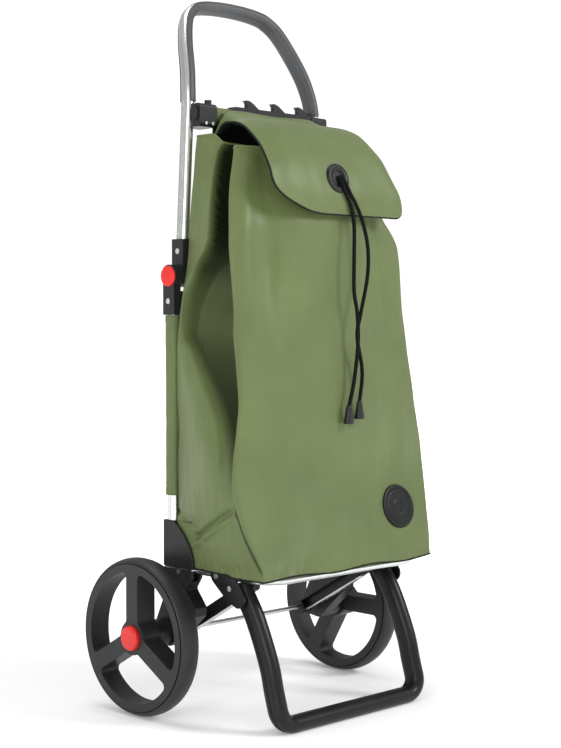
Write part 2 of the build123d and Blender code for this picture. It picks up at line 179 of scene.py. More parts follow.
def line_frames(centres, first_side=(1, 0, 0)):
    """Section axes that turn as little as possible along a line."""
    heading = unit(np.gradient(centres, axis=0))
    side = []
    last = np.asarray(first_side, float)
    for h in heading:
        last = last - h * (last @ h)
        last = last / np.linalg.norm(last)
        side.append(last)
    side = np.array(side)
    return side, np.cross(heading, side)


def circle(radius, count):
    a = np.linspace(0, 2 * math.pi, count, endpoint=False)
    return np.stack([np.cos(a), np.sin(a)], axis=1) * radius


def round_line(name, centres, radius, sides=12, first_side=(1, 0, 0)):
    side, up = line_frames(centres, first_side)
    return sweep(name, centres, side, up, circle(radius, sides))


def lathe(name, outline, origin, axis, sides=48):
    """Turned shape: outline is (radius, distance along axis)."""
    axis = unit(np.asarray(axis, float))
    side = unit(np.cross(axis, (0.3, 0.5, 0.81)))
    up = np.cross(axis, side)
    a = np.linspace(0, 2 * math.pi, sides, endpoint=False)
    spokes = side[None, :] * np.cos(a)[:, None] + up[None, :] * np.sin(a)[:, None]
    points = np.array([np.asarray(origin, float) + axis * h + spokes * r for r, h in outline])
    faces = grid_faces(len(outline), sides, True)
    faces.append(tuple(range(sides))[::-1])
    faces.append(tuple((len(outline) - 1) * sides + c for c in range(sides)))
    return add_mesh(name, points.reshape(-1, 3), faces)


def sharpen(obj, degrees=35):
    """Smooth shading that keeps edges steeper than the angle."""
    mesh = obj.data
    mesh.polygons.foreach_set("use_smooth", [True] * len(mesh.polygons))
    mesh.set_sharp_from_angle(angle=math.radians(degrees))


def soften(obj, width):
    """Small rounded edges on a piece that keeps its CAD shape."""
    bevel = obj.modifiers.new("Bevel", "BEVEL")
    bevel.width = width * MM
    bevel.segments = 2
    bevel.limit_method = "ANGLE"
    bevel.angle_limit = math.radians(40)
    bevel.use_clamp_overlap = True
    bevel.harden_normals = True


# ---- materials ----


def set_range(node, from_low, from_high, to_low, to_high):
    node.inputs["From Min"].default_value = from_low
    node.inputs["From Max"].default_value = from_high
    node.inputs["To Min"].default_value = to_low
    node.inputs["To Max"].default_value = to_high


class Shader:
    """A few node shortcuts round one Principled material."""

    def __init__(self, name):
        self.material = bpy.data.materials.new(name)
        self.material.use_nodes = True
        self.tree = self.material.node_tree
        self.tree.nodes.clear()
        self.out = self.node("ShaderNodeOutputMaterial")
        self.body = self.node("ShaderNodeBsdfPrincipled")
        self.link(self.body.outputs[0], self.out.inputs["Surface"])

    def node(self, kind, **values):
        node = self.tree.nodes.new(kind)
        for key, value in values.items():
            setattr(node, key, value)
        return node

    def link(self, a, b):
        self.tree.links.new(a, b)

    def set(self, **values):
        for key, value in values.items():
            self.body.inputs[key.replace("_", " ")].default_value = value

    def feed(self, name, value):
        self.link(value, self.body.inputs[name])

    def coords(self, kind="Object", scale=(1, 1, 1)):
        source = self.node("ShaderNodeTexCoord")
        mapping = self.node("ShaderNodeMapping")
        mapping.inputs["Scale"].default_value = scale
        self.link(source.outputs[kind], mapping.inputs["Vector"])
        return mapping.outputs["Vector"]

    def noise(self, vector, scale, detail=3.0, rough=0.5):
        node = self.node("ShaderNodeTexNoise")
        node.inputs["Scale"].default_value = scale
        node.inputs["Detail"].default_value = detail
        node.inputs["Roughness"].default_value = rough
        self.link(vector, node.inputs["Vector"])
        return node.outputs["Fac"]

    def wave(self, vector, scale, direction, distortion=0.0):
        node = self.node("ShaderNodeTexWave", bands_direction=direction)
        node.inputs["Scale"].default_value = scale
        node.inputs["Distortion"].default_value = distortion
        self.link(vector, node.inputs["Vector"])
        return node.outputs["Fac"]

    def ramp(self, value, stops):
        node = self.node("ShaderNodeValToRGB")
        elements = node.color_ramp.elements
        elements[0].position, elements[0].color = stops[0][0], (*stops[0][1], 1)
        elements[1].position, elements[1].color = stops[-1][0], (*stops[-1][1], 1)
        for position, colour in stops[1:-1]:
            element = elements.new(position)
            element.color = (*colour, 1)
        self.link(value, node.inputs["Fac"])
        return node.outputs["Color"]

    def span(self, value, low, high):
        node = self.node("ShaderNodeMapRange")
        set_range(node, 0, 1, low, high)
        self.link(value, node.inputs["Value"])
        return node.outputs["Result"]

    def math(self, operation, a, b):
        node = self.node("ShaderNodeMath", operation=operation)
        for slot, value in zip(node.inputs, (a, b)):
            if isinstance(value, (int, float)):
                slot.default_value = value
            else:
                self.link(value, slot)
        return node.outputs["Value"]

    def add_bump(self, height, strength, distance, before=None):
        node = self.node("ShaderNodeBump")
        node.inputs["Strength"].default_value = strength
        node.inputs["Distance"].default_value = distance * MM
        self.link(height, node.inputs["Height"])
        if before is not None:
            self.link(before, node.inputs["Normal"])
        self.link(node.outputs["Normal"], self.body.inputs["Normal"])
        return node.outputs["Normal"]


GREEN = (0.102, 0.134, 0.044)
# the second shine level and the near-black colour below are painted shade for the depth of the pleat folds
CLOTH_SHINE, PAINTED_PLEAT_SHADE_SHINE = 0.36, 0.04
PAINTED_PLEAT_SHADE = (0.004, 0.006, 0.003, 1)


def fabric(name, base, roughness=0.46, sheen=0.12, shine=CLOTH_SHINE, painted_pleat_shade=False):
    """Coated woven cloth: fine plain weave, slight colour drift and a soft sheen. With the pleat flag on it
    gets painted pleat shade from the mesh's depth attribute: a darker colour and less shine."""
    s = Shader(name)
    drift = s.noise(s.coords(), 9.0, 4.0, 0.6)
    dark = tuple(c * 0.9 for c in base)
    light = tuple(c * 1.1 for c in base)
    colour = s.ramp(drift, [(0.3, dark), (0.7, light)])
    weave = s.coords("UV")
    warp = s.wave(weave, 900.0, "X", 0.4)
    weft = s.wave(weave, 900.0, "Y", 0.4)
    threads = s.math("MAXIMUM", warp, weft)
    first = s.add_bump(threads, 0.10, 0.12)
    crumple = s.noise(s.coords(), 70.0, 5.0, 0.55)
    second = s.add_bump(crumple, 0.14, 0.9, first)
    creases = s.noise(s.coords("Object", (1, 1, 0.35)), 16.0, 5.0, 0.6)
    s.add_bump(creases, 0.3, 6.0, second)
    patches = s.noise(s.coords(), 30.0, 3.0)
    s.feed("Roughness", s.span(patches, roughness - 0.06, roughness + 0.08))
    s.set(Sheen_Weight=sheen, Sheen_Roughness=0.4, Specular_IOR_Level=shine)
    s.set(Sheen_Tint=(0.85, 0.95, 0.7, 1))
    if painted_pleat_shade:
        # painted shade: the depth attribute darkens the colour and dulls the shine deep in the pleat folds
        depth = s.node("ShaderNodeVertexColor", layer_name="depth").outputs["Color"]
        mix = s.node("ShaderNodeMix", data_type="RGBA")
        s.link(depth, mix.inputs["Factor"])
        s.link(colour, mix.inputs[6])
        mix.inputs[7].default_value = PAINTED_PLEAT_SHADE
        colour = mix.outputs[2]
        s.feed("Specular IOR Level", s.span(depth, shine, PAINTED_PLEAT_SHADE_SHINE))
    s.feed("Base Color", colour)
    return s.material


def plastic(name, base, roughness, grain=0.25, grain_scale=900.0, coat=0.0, shine=0.3):
    """Moulded plastic with a fine eroded grain and faint handling marks."""
    s = Shader(name)
    drift = s.noise(s.coords(), 25.0, 4.0, 0.6)
    light = tuple(c * 1.25 + 0.003 for c in base)
    s.feed("Base Color", s.ramp(drift, [(0.35, base), (0.75, light)]))
    marks = s.noise(s.coords("Object", (1, 1, 0.3)), 120.0, 4.0, 0.7)
    s.feed("Roughness", s.span(marks, roughness - 0.07, roughness + 0.1))
    s.add_bump(s.noise(s.coords(), grain_scale, 2.0), grain, 0.12)
    s.set(Coat_Weight=coat, Specular_IOR_Level=shine)
    return s.material


def metal(name, base, roughness, along="Z"):
    """Drawn or polished metal with fine lines along its length."""
    s = Shader(name)
    stretch = {"X": (0.2, 16, 16), "Z": (16, 16, 0.2)}[along]
    lines = s.noise(s.coords("Object", stretch), 22.0, 4.0, 0.65)
    s.feed("Roughness", s.span(lines, roughness - 0.05, roughness + 0.1))
    s.feed("Base Color", s.ramp(lines, [(0.3, tuple(c * 0.88 for c in base)), (0.7, base)]))
    s.add_bump(lines, 0.015, 0.06)
    s.set(Metallic=1.0)
    return s.material


def rubber(name, base, roughness):
    """Matt rubber with a little dust in its grain."""
    s = Shader(name)
    dust = s.noise(s.coords(), 18.0, 5.0, 0.7)
    light = tuple(c * 1.5 + 0.01 for c in base)
    s.feed("Base Color", s.ramp(dust, [(0.45, base), (0.85, light)]))
    s.feed("Roughness", s.span(dust, roughness - 0.08, roughness + 0.12))
    s.add_bump(s.noise(s.coords(), 1300.0, 2.0), 0.2, 0.1)
    return s.material


def cord_cloth(name, base):
    """Braided cord: two crossing sets of slanted strands."""
    s = Shader(name)
    uv = s.coords("UV", (1, 0.35, 1))
    left = s.wave(uv, 260.0, "DIAGONAL")
    mirrored = s.coords("UV", (-1, 0.35, 1))
    right = s.wave(mirrored, 260.0, "DIAGONAL")
    braid = s.math("MAXIMUM", left, right)
    s.feed("Base Color", s.ramp(braid, [(0.2, tuple(c * 0.5 for c in base)), (0.9, base)]))
    s.add_bump(braid, 0.6, 0.5)
    s.set(Roughness=0.85, Specular_IOR_Level=0.12)
    return s.material


M = {
    "fabric": fabric("green_fabric_cloth", GREEN),
    # the bag cloth carries painted pleat shade from its depth attribute
    "bag": fabric("green_bag_cloth_painted_pleat_shade", GREEN, painted_pleat_shade=True),
    "lining": fabric("dark_lining", (0.009, 0.011, 0.008), 0.6, 0.0, shine=0.15),
    "piping": fabric("dark_piping_cloth", (0.007, 0.010, 0.007), 0.55, 0.0, shine=0.15),
    "alu": metal("bright_aluminium_metal", (0.7, 0.71, 0.7), 0.22, "Z"),
    "alu_x": metal("bright_aluminium_bar", (0.72, 0.73, 0.72), 0.2, "X"),
    "steel": metal("steel_pins", (0.7, 0.7, 0.69), 0.28, "X"),
    "grip": rubber("grip_rubber_soft", (0.042, 0.044, 0.047), 0.5),
    "tyre": rubber("tyre_rubber_matt", (0.009, 0.009, 0.0093), 0.5),
    "black": plastic("black_moulding", (0.012, 0.012, 0.0125), 0.4),
    "rim": plastic("rim_moulding", (0.017, 0.017, 0.0175), 0.42),
    "paint": plastic("black_powder_coat", (0.009, 0.009, 0.0094), 0.32, 0.35, 1500.0, shine=0.24),
    "red": plastic("red_plastic_gloss", (0.62, 0.014, 0.012), 0.3, 0.08, 600.0, 0.3),
    "badge": plastic("badge_moulding", (0.009, 0.0095, 0.01), 0.34, shine=0.22),
    "cord": cord_cloth("cord_braid", (0.006, 0.0065, 0.006)),
}


def paint(obj, key):
    obj.data.materials.clear()
    obj.data.materials.append(M[key])


def place(obj, body, key, slot, *nodes):
    """Gives a piece its material, puts it on a body and lets it stand for CAD nodes. The slot argument is not
    used.
    """
    paint(obj, key)
    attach(obj, body)
    if nodes:
        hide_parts(*nodes)


# ---- CAD nodes that are shown as they are ----

# material, bevel width and nodes; a name ending in _ stands for the left and right piece
SHOWN = [
    ("alu_x", 0, ["back_cross_tube", "crossbar_tube"]),
    ("alu", 0, ["platform_tube"]),
    ("alu", 0.3, ["guard_trim_"]),
    ("steel", 0, ["axle_rod", "hinge_pins"]),
    ("steel", 0.2, ["upper_rivets"]),
    ("steel", 0.4, ["platform_pins", "plate_pins", "brace_pins", "clamp_screws"]),
    ("steel", 0.5, ["lower_rivets"]),
    ("black", 0.8, ["crossbar_end_caps"]),
    ("black", 0.9, ["hinge_lower_housing_", "hinge_upper_housing_", "hook_strip"]),
    ("black", 1.0, ["wheel_bracket_"]),
    ("black", 1.2, ["corner_guard_"]),
    ("black", 1.6, ["crossbar_clamp_"]),
    ("rim", 1.4, ["wheel_rim_"]),
    ("paint", 0.8, ["foot_side_plate_", "brace_"]),
    ("red", 0, ["hinge_button_", "hub_cap_"]),
]
SIDES = ((-1, "left"), (1, "right"))


def show(node, key, bevel_width):
    """A CAD node that is seen as it is, with a material and slightly rounded edges."""
    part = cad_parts[node]
    paint(part, key)
    sharpen(part)
    if bevel_width:
        soften(part, bevel_width)


for key, bevel_width, names in SHOWN:
    for name in names:
        for node in [name + word for _, word in SIDES] if name.endswith("_") else [name]:
            show(node, key, bevel_width)

# ---- grooved aluminium tubes ----


TUBE_ACROSS, TUBE_DEEP, GROOVE_DEPTH = 14, 20, 0.8
FRAME_X, FRAME_Y = 153.0, -12.5  # centre of the lower tubes


def tube_profile():
    """Flat-sided oval with two fine grooves along each flat side."""
    r = TUBE_ACROSS / 2
    flat = TUBE_DEEP / 2 - r
    floor_x = r - GROOVE_DEPTH
    groove = [(r, 0.34 * flat), (floor_x, 0.42 * flat), (floor_x, 0.7 * flat), (r, 0.78 * flat)]
    side = [(r, -flat), *[(x, -y) for x, y in reversed(groove)], *groove, (r, flat)]
    top = [(r * math.cos(a), flat + r * math.sin(a)) for a in np.linspace(0, math.pi, 12)[1:-1]]
    half = side + top
    return np.array(half + [(-x, -y) for x, y in half])


def upright_line(x, y, z):
    """Points straight above each other at the heights z."""
    return np.stack([np.full_like(z, x), np.full_like(z, y), z], axis=1)


for sign, word in SIDES:
    centres = upright_line(sign * FRAME_X, FRAME_Y, np.linspace(170, 590, 22))
    side = np.tile([1.0, 0, 0], (len(centres), 1))
    up = np.tile([0, 1.0, 0], (len(centres), 1))
    tube = sweep(f"lower_tube_grooved_{word}", centres, side, up, tube_profile())
    sharpen(tube, 30)
    place(tube, "lower_frame", "alu", "bright_aluminium", f"lower_tube_{word}")


LOOP_FOOT_Z = 616.5  # lower end of the upper tube
LOOP_BEND_Z = 843.0  # where it starts to bend back


def sheet_at(s):
    """Side view of the handle loop: upright, bent back, leaning. Returns point and heading (y, z)."""
    straight, radius, turn = LOOP_BEND_Z - LOOP_FOOT_Z, 200.0, math.radians(24)
    bend = radius * turn
    a = np.clip((s - straight) / radius, 0, turn)
    over = np.maximum(s - straight - bend, 0)
    low = np.minimum(s, straight)
    y = FRAME_Y + radius * (1 - np.cos(a)) + over * np.sin(turn)
    z = LOOP_FOOT_Z + low + radius * np.sin(a) + over * np.cos(turn)
    return np.stack([y, z], axis=-1), np.stack([np.sin(a), np.cos(a)], axis=-1)


def bent_frames(path, sheet):
    """Centres and section axes of a loop drawn flat as (x, length) and bent with a side view."""
    yz, heading = sheet(path[:, 1])
    zero = np.zeros(len(path))
    centres = np.stack([path[:, 0], yz[:, 0], yz[:, 1]], axis=1)
    front = np.stack([zero, -heading[:, 1], heading[:, 0]], axis=1)
    along = unit(np.gradient(centres, axis=0))
    inward = unit(np.cross(front, along))
    return centres, inward, np.cross(along, inward)


half = [(137.2, 0), (131.0, 119), (124.8, 238), (119.8, 278.5), (108.7, 327), (91.9, 370.7), (72.8, 390.4),
        (54.5, 397), (27, 400.4), (0, 401.3)]
handle_path = smooth_line(half + [(-x, s) for x, s in reversed(half[:-1])], 260)
centres, inward, front = bent_frames(handle_path, sheet_at)
loop = sweep("handle_loop_grooved", centres, inward, front, tube_profile())
sharpen(loop, 30)
place(loop, "upper_frame", "alu", "bright_aluminium", "upper_tube_loop")


def grip_profile():
    """Rubber cover round the inside, front and back of the loop; the outer side stays bare."""
    cut = -3.6
    outer_r, inner_r, flat = 9.5, 7.06, 3.0
    a_out = math.acos(cut / outer_r)
    a_in = math.acos(cut / inner_r)
    lip = 0.35
    outer = [(outer_r * math.cos(a), flat + outer_r * math.sin(a)) for a in np.linspace(a_out, 0, 14)]
    outer += [(x, -y) for x, y in reversed(outer)]
    inner = [(inner_r * math.cos(a), -flat - inner_r * math.sin(a)) for a in np.linspace(0, a_in, 12)]
    inner = inner[::-1] + [(x, -y) for x, y in inner]
    inner[0] = (inner[0][0] - lip, inner[0][1])
    inner[-1] = (inner[-1][0] - lip, inner[-1][1])
    return np.array(outer + inner)


GRIP_START = 238  # length along the leg where the rubber begins
covered = np.where(handle_path[:, 1] > GRIP_START)[0]
rows = slice(covered[0], covered[-1] + 1)
grip = sweep("handle_grip_rubber", centres[rows], inward[rows], front[rows], grip_profile())
sharpen(grip, 50)
place(grip, "upper_frame", "grip", "grip_rubber", "handle_grip")

# ---- foot loop ----

FOOT_POINTS = [(-133, 197), (-146, 176), (-166, 145), (-190, 92), (-200, 56), (-208, 28), (-210, 10)]
foot_side_view = smooth_line(FOOT_POINTS, 200)
foot_lengths = line_length(foot_side_view)
FOOT_LENGTH = foot_lengths[-1]


def foot_sheet(s):
    """Side view of the foot loop at length s: point and heading (y, z)."""
    y = np.interp(s, foot_lengths, foot_side_view[:, 0])
    z = np.interp(s, foot_lengths, foot_side_view[:, 1])
    heading = unit(np.gradient(foot_side_view, axis=0))
    h = np.stack([np.interp(s, foot_lengths, heading[:, k]) for k in (0, 1)], axis=1)
    return np.stack([y, z], axis=1), unit(h)


def foot_profile():
    """Oval 22 x 30 with a shallow channel along the outer side."""
    r, flat = 11.0, 4.0
    side = [(-r, flat), (-r, 2.6), (-r + 1.1, 2.0), (-r + 1.3, 0), (-r + 1.1, -2.0), (-r, -2.6), (-r, -flat)]
    low = [(r * math.cos(a), -flat + r * math.sin(a)) for a in np.linspace(-math.pi, 0, 16)[1:-1]]
    other = [(r, -flat), (r, 0), (r, flat)]
    top = [(r * math.cos(a), flat + r * math.sin(a)) for a in np.linspace(0, math.pi, 16)[1:-1]]
    return np.array(side + low + other + top)


bend, leg_x = 24.0, 139.0
leg_end = FOOT_LENGTH - bend
leg = [(leg_x, s) for s in np.linspace(0, leg_end, 40)]
quarter = np.linspace(0, math.pi / 2, 14)[1:]
turn = [(leg_x - bend * (1 - math.cos(a)), leg_end + bend * math.sin(a)) for a in quarter]
bar = [(x, FOOT_LENGTH) for x in np.linspace(leg_x - bend, 0, 20)[1:]]
half = leg + turn + bar
foot_path = resample(np.array(half + [(-x, s) for x, s in reversed(half[:-1])]), 240)
centres, inward, front = bent_frames(foot_path, foot_sheet)
foot = sweep("foot_loop_oval", centres, inward, front, foot_profile())
# it rests on the floor, and its upper ends stop short of the platform
FOOT_TOP = 0.1955
co = np.array([v.co for v in foot.data.vertices])
co[:, 2] = np.maximum(co[:, 2], 0.0)
top = (co[:, 1] > -0.1125) & (co[:, 2] > FOOT_TOP)
co[top, 2] = FOOT_TOP
foot.data.vertices.foreach_set("co", co.ravel())
sharpen(foot, 40)
place(foot, "foot", "paint", "black_paint", "foot_loop")

# bright lower edge of the braces, seen from the side (y, z)
BRACE_BACK, BRACE_FRONT = np.array([0, 110.0]), np.array([-135, 188.0])
BRACE_X, BRACE_HALF = 116.5, 8.6
EDGE_PROFILE = [(-6.4, -0.2), (6.4, -0.2), (6.4, 0.9), (-6.4, 0.9)]
along = unit(BRACE_FRONT - BRACE_BACK)
below = np.array([-along[1], along[0]])
start = BRACE_BACK + along * 14 + below * BRACE_HALF
end = BRACE_FRONT - along * 16 + below * BRACE_HALF
for sign, word in SIDES:
    line = np.array([[sign * BRACE_X, *(start + (end - start) * t)] for t in np.linspace(0, 1, 6)])
    across = np.tile([1.0, 0, 0], (6, 1))
    down = np.tile([0, *below], (6, 1))
    edge = sweep(f"brace_edge_{word}", line, across, down, EDGE_PROFILE)
    place(edge, "brace", "alu", "bright_aluminium")

# ---- wheels ----

WHEEL_Z = 110.0  # axle height
TYRE_INNER_X, TYRE_WIDTH = 187.5, 31.5
TREAD_SIDES = 160
# half of the tyre's section, as radius and distance from its inner face
TYRE_HALF = [(102.1, 2.6), (102.6, 1.4), (103.6, 0.7), (104.6, 0.5), (105.6, 1.1), (106.8, 2.6), (108.0, 5.2),
             (109.0, 8.4), (109.7, 11.8), (110.0, TYRE_WIDTH / 2)]
TYRE = TYRE_HALF + [(r, TYRE_WIDTH - x) for r, x in reversed(TYRE_HALF[:-1])]
tyre_angles = np.linspace(0, 2 * math.pi, TREAD_SIDES, endpoint=False)
for sign, word in SIDES:
    points = np.array([[(sign * (TYRE_INNER_X + x), r * math.cos(t), WHEEL_Z + r * math.sin(t))
                        for t in tyre_angles] for r, x in TYRE])
    faces = grid_faces(len(TYRE), TREAD_SIDES, True, flip=sign > 0)
    last = (len(TYRE) - 1) * TREAD_SIDES
    for c in range(TREAD_SIDES):
        d = (c + 1) % TREAD_SIDES
        quad = (last + c, last + d, d, c)
        faces.append(quad[::-1] if sign > 0 else quad)
    tyre = add_mesh(f"tyre_ring_{word}", points.reshape(-1, 3), faces)
    sharpen(tyre, 32)
    place(tyre, f"wheel_{word}", "tyre", "tyre_rubber", f"tyre_{word}")

# ---- bag ----

# Heights and the places there of the front ridge, the back edge and the front's bulge. The right side
# is not quite the mirror of the left: RIGHT_SHIFT moves its ridge.
LEVEL_Z = [208, 241, 272, 304, 329, 357, 406, 437, 483, 537, 571, 639, 676, 716, 752, 788]
RIDGE_X = [168, 176, 183, 189, 192, 191, 183, 178, 176, 174, 172, 173, 170, 158, 147.5, 138]
RIDGE_Y = [-212.5, -203, -193, -184, -178, -175, -173.5, -172, -165, -155, -151, -143, -139, -127, -119, -116]
RIGHT_Z = [208, 300, 400, 480, 560, 620, 654, 668, 681, 691, 702, 720, 788]
RIGHT_SHIFT = [1, 2, 2, 2, 5, 5, 3, -3, -11, -16, -17, -19, -20]
BACK_Z = [208, 270, 300, 355, 439, 508, 554, 584, 612, 646, 690, 716, 752, 790]
BACK_X = [155, 158, 158.4, 158.4, 157.8, 157.2, 154.5, 149.8, 143.1, 137.5, 135, 132, 126, 121]
BACK_Y = [-25.5, -26, -26, -26, -26.5, -27, -29, -29, -29, -28.5, -28, -28, -28, -28]
BULGE_Z = [208, 270, 330, 440, 540, 640, 716, 790]
BULGE = [4, 8, 12, 14, 25, 36, 48, 46]

# How far the side stands off the straight line from back edge to front ridge. Each level is a height and five
# folds: the share of that line and the offset there. The third fold is where the pleat turns in.
GUSSET = [
    (208, 0.20, 2, 0.32, 3, 0.50, 5, 0.72, 5, 0.90, 1),
    (240, 0.30, 3, 0.42, 5, 0.56, 7, 0.76, 6, 0.91, 2),
    (285, 0.40, 6, 0.56, 6, 0.70, 4, 0.82, 0, 0.93, -3),
    (310, 0.50, 7, 0.68, 6, 0.80, 2, 0.87, -5, 0.93, -5),
    (346, 0.62, 8, 0.78, 5, 0.84, -6, 0.88, -10, 0.935, -7),
    (377, 0.60, 8, 0.77, 4, 0.83, -12, 0.88, -14, 0.935, -9),
    (403, 0.50, 8, 0.70, 4, 0.76, -14, 0.86, -19, 0.93, -11),
    (435, 0.40, 8, 0.58, 5, 0.64, -15, 0.80, -25, 0.92, -14),
    (475, 0.24, 6, 0.40, 4, 0.46, -17, 0.74, -30, 0.92, -17),
    (509, 0.10, 3, 0.22, 2, 0.28, -20, 0.66, -36, 0.92, -19),
    (526, 0.03, 1, 0.07, 0, 0.13, -23, 0.60, -41, 0.92, -20),
    (553, 0.01, 0, 0.02, -3, 0.08, -28, 0.50, -47, 0.94, -26),
    (582, 0.01, 0, 0.02, -4, 0.08, -34, 0.46, -55, 0.94, -26),
    (601, 0.02, 0, 0.05, -4, 0.11, -38, 0.46, -60, 0.93, -28),
    (624, 0.08, -1, 0.14, -4, 0.20, -44, 0.50, -66, 0.93, -30),
    (642, 0.18, -2, 0.30, -5, 0.36, -50, 0.56, -72, 0.92, -32),
    (663, 0.28, -2, 0.41, -5, 0.46, -50, 0.62, -74, 0.92, -34),
    (700, 0.30, -3, 0.45, -5, 0.50, -50, 0.64, -74, 0.92, -34),
    (739, 0.30, -3, 0.47, -6, 0.52, -50, 0.65, -72, 0.91, -34),
    (769, 0.34, -4, 0.52, -7, 0.57, -46, 0.68, -66, 0.91, -30),
    (790, 0.42, -5, 0.66, -7, 0.71, -36, 0.79, -50, 0.92, -24),
]
MOUTH_Z = 788.0
SPLIT_Z = 500.0
SIDE_COLS, FRONT_COLS, BACK_COLS = 116, 84, 14


def side_offsets(z, t):
    """Gusset displacement at height z for the shares t, through five fold lines that drift with height."""
    heights = [level[0] for level in GUSSET]
    folds = [float(hermite(z, heights, [level[k] for level in GUSSET])) for k in range(1, 11)]
    return hermite(t, [0, *folds[0::2], 1], [0, *folds[1::2], 0])


def bag_row(z):
    """Outline of the bag at one height, from the middle of the back round the right side to the start."""
    ridge = np.array([float(hermite(z, LEVEL_Z, RIDGE_X)), float(hermite(z, LEVEL_Z, RIDGE_Y))])
    back = np.array([float(hermite(z, BACK_Z, BACK_X)), float(hermite(z, BACK_Z, BACK_Y))])
    bulge = float(hermite(z, BULGE_Z, BULGE))
    t = np.linspace(0, 1, SIDE_COLS)
    line = back + (ridge - back) * t[:, None]
    run = unit(ridge - back)
    outward = np.array([-run[1], run[0]])  # run turned by a right angle
    side = line + outward * side_offsets(z, t)[:, None]
    side[:, 1] = np.minimum(side[:, 1], back[1])
    lean_right = float(hermite(z, RIGHT_Z, RIGHT_SHIFT))
    u = np.linspace(1, -1, FRONT_COLS)
    front_x = ridge[0] * u + lean_right * smoothstep(u, 0.1, 1)
    front_y = ridge[1] - bulge * (1 - np.abs(u) ** 2.3)
    hollow = smoothstep(z, 520, 640) * (1 - smoothstep(z, 770, 800))
    front_y += 8 * hollow * (bump(u, -0.66, 0.13) + bump(u, 0.68, 0.14))
    front_y -= 5 * hollow * (bump(u, -0.9, 0.09) + bump(u, 0.9, 0.09))
    front = np.stack([front_x, front_y], axis=1)
    back_half = np.stack([np.linspace(0, back[0], BACK_COLS)[:-1], np.full(BACK_COLS - 1, back[1])], axis=1)
    right_side = side.copy()
    right_side[:, 0] += lean_right * t
    right = np.vstack([back_half, right_side, front[1:-1]])
    left_side = side[::-1] * (-1, 1)
    left_back = back_half[1:][::-1] * (-1, 1)
    return np.vstack([right, left_side, left_back])


def crease(z, along, start, end, width, depth):
    """Fold running across the side panel: depth at each point, from its two ends (share, height)."""
    (t0, z0), (t1, z1) = start, end
    share = np.clip((along - t0) / (t1 - t0), 0, 1)
    centre = z0 + (z1 - z0) * share
    inside = smoothstep(along, t0 - 0.12, t0 + 0.1) * (1 - smoothstep(along, t1 - 0.08, t1 + 0.05))
    near = (z - centre) / width
    return inside * (-depth * np.exp(-near**2) + 0.75 * depth * np.exp(-((near + 1.9) ** 2)))


heights = np.linspace(208, 330, 56), np.linspace(332, 560, 96), np.linspace(562, MOUTH_Z, 96)
heights = np.concatenate(heights)
outlines = np.array([bag_row(z) for z in heights])
rows, cols, _ = outlines.shape
bag = np.concatenate([outlines, np.broadcast_to(heights[:, None, None], (rows, cols, 1))], axis=2)
normals = grid_normals(bag, True, rows // 2, BACK_COLS + SIDE_COLS // 2, 0)

# share of the way from back edge to front ridge for the columns of the two sides, -1 for the others
right_start = BACK_COLS - 1
left_start = right_start + SIDE_COLS + FRONT_COLS - 2
share = np.full(cols, -1.0)
share[right_start : right_start + SIDE_COLS] = np.linspace(0, 1, SIDE_COLS)
share[left_start : left_start + SIDE_COLS] = np.linspace(1, 0, SIDE_COLS)
on_left = np.arange(cols) >= left_start

# creases of the lower corners: start and end (share, height), width, depth
LEFT_CREASES = [
    ((0.16, 243), (0.9, 300), 4.2, 5.5),
    ((0.05, 262), (0.45, 250), 5.0, 2.6),
    ((0.02, 283), (0.4, 268), 5.5, 2.4),
    ((0.55, 215), (0.98, 222), 7.0, 2.0),
]
RIGHT_CREASES = [
    ((0.1, 236), (0.9, 282), 7.0, 5.0),
    ((0.05, 272), (0.5, 262), 5.5, 2.4),
]
lean = np.zeros((rows, cols))
for j in np.flatnonzero(share >= 0):
    for start, end, width, depth in LEFT_CREASES if on_left[j] else RIGHT_CREASES:
        lean[:, j] += crease(heights, share[j], start, end, width, depth)

# soft unevenness of hanging cloth, stretched along the height, and fine puckers near seams
for i in range(rows):
    for j in range(cols):
        x, y, z = bag[i, j]
        soft = noise.noise(Vector((x / 46, y / 46, z / 190))) * 3.6
        small = noise.noise(Vector((x / 15 + 7, y / 15, z / 60))) * 1.0
        swell = 0.9
        if share[j] < 0:
            swell = 0.15 if y > -40 else 1.0
        edge = smoothstep(z, 206, 240) * (1 - 0.6 * smoothstep(z, 760, 790))
        pucker = noise.noise(Vector((x / 7, y / 7, z / 22 + 3))) * 1.5 * bump(z, 210, 16)
        bag[i, j] += normals[i, j] * ((soft + small) * swell * edge + lean[i, j] + pucker)

# the back stays in front of the frame and its hinges, and the lower corners between the guards
back_limit = np.where(bag[..., 2] > 545, -28.0, -25.0)
bag[..., 1] = np.minimum(bag[..., 1], back_limit)
guard = (bag[..., 2] < 272) & (bag[..., 1] > -67)
bag[..., 0] = np.where(guard, np.clip(bag[..., 0], -158.0, 158.0), bag[..., 0])

# rounded front ridges
right_ridge = right_start + SIDE_COLS
for _ in range(3):
    for j in (*range(right_ridge - 4, right_ridge + 4), *range(left_start - 4, left_start + 4)):
        beside = bag[:, (j - 1) % cols, :2] + bag[:, (j + 1) % cols, :2]
        bag[:, j, :2] = 0.5 * bag[:, j, :2] + 0.25 * beside

# the mouth hangs lower at the front, dips into the folds and rises at the back
front_share = np.clip((-bag[-1, :, 1] - 100) / 70, 0, 1)
mouth_drop = 5 * front_share + 2.5 * np.sin(bag[-1, :, 0] / 31.0) * front_share
mouth_drop += np.where(share >= 0, 9 * bump(share, 0.93, 0.07), 0)
mouth_drop -= 19 * np.where(share >= 0, 1 - smoothstep(share, 0.36, 0.8), bag[-1, :, 1] > -60)
rise = smoothstep(heights, 700, MOUTH_Z)[:, None]
bag[..., 2] -= rise * mouth_drop[None, :]
foot_wave = 1.8 * np.sin(bag[0, :, 0] / 23.0) * (bag[0, :, 1] < -150)
bag[..., 2] += (1 - smoothstep(heights, 208, 245))[:, None] * foot_wave[None, :]

normals = grid_normals(bag, True, rows // 2, right_start + 4, 0)
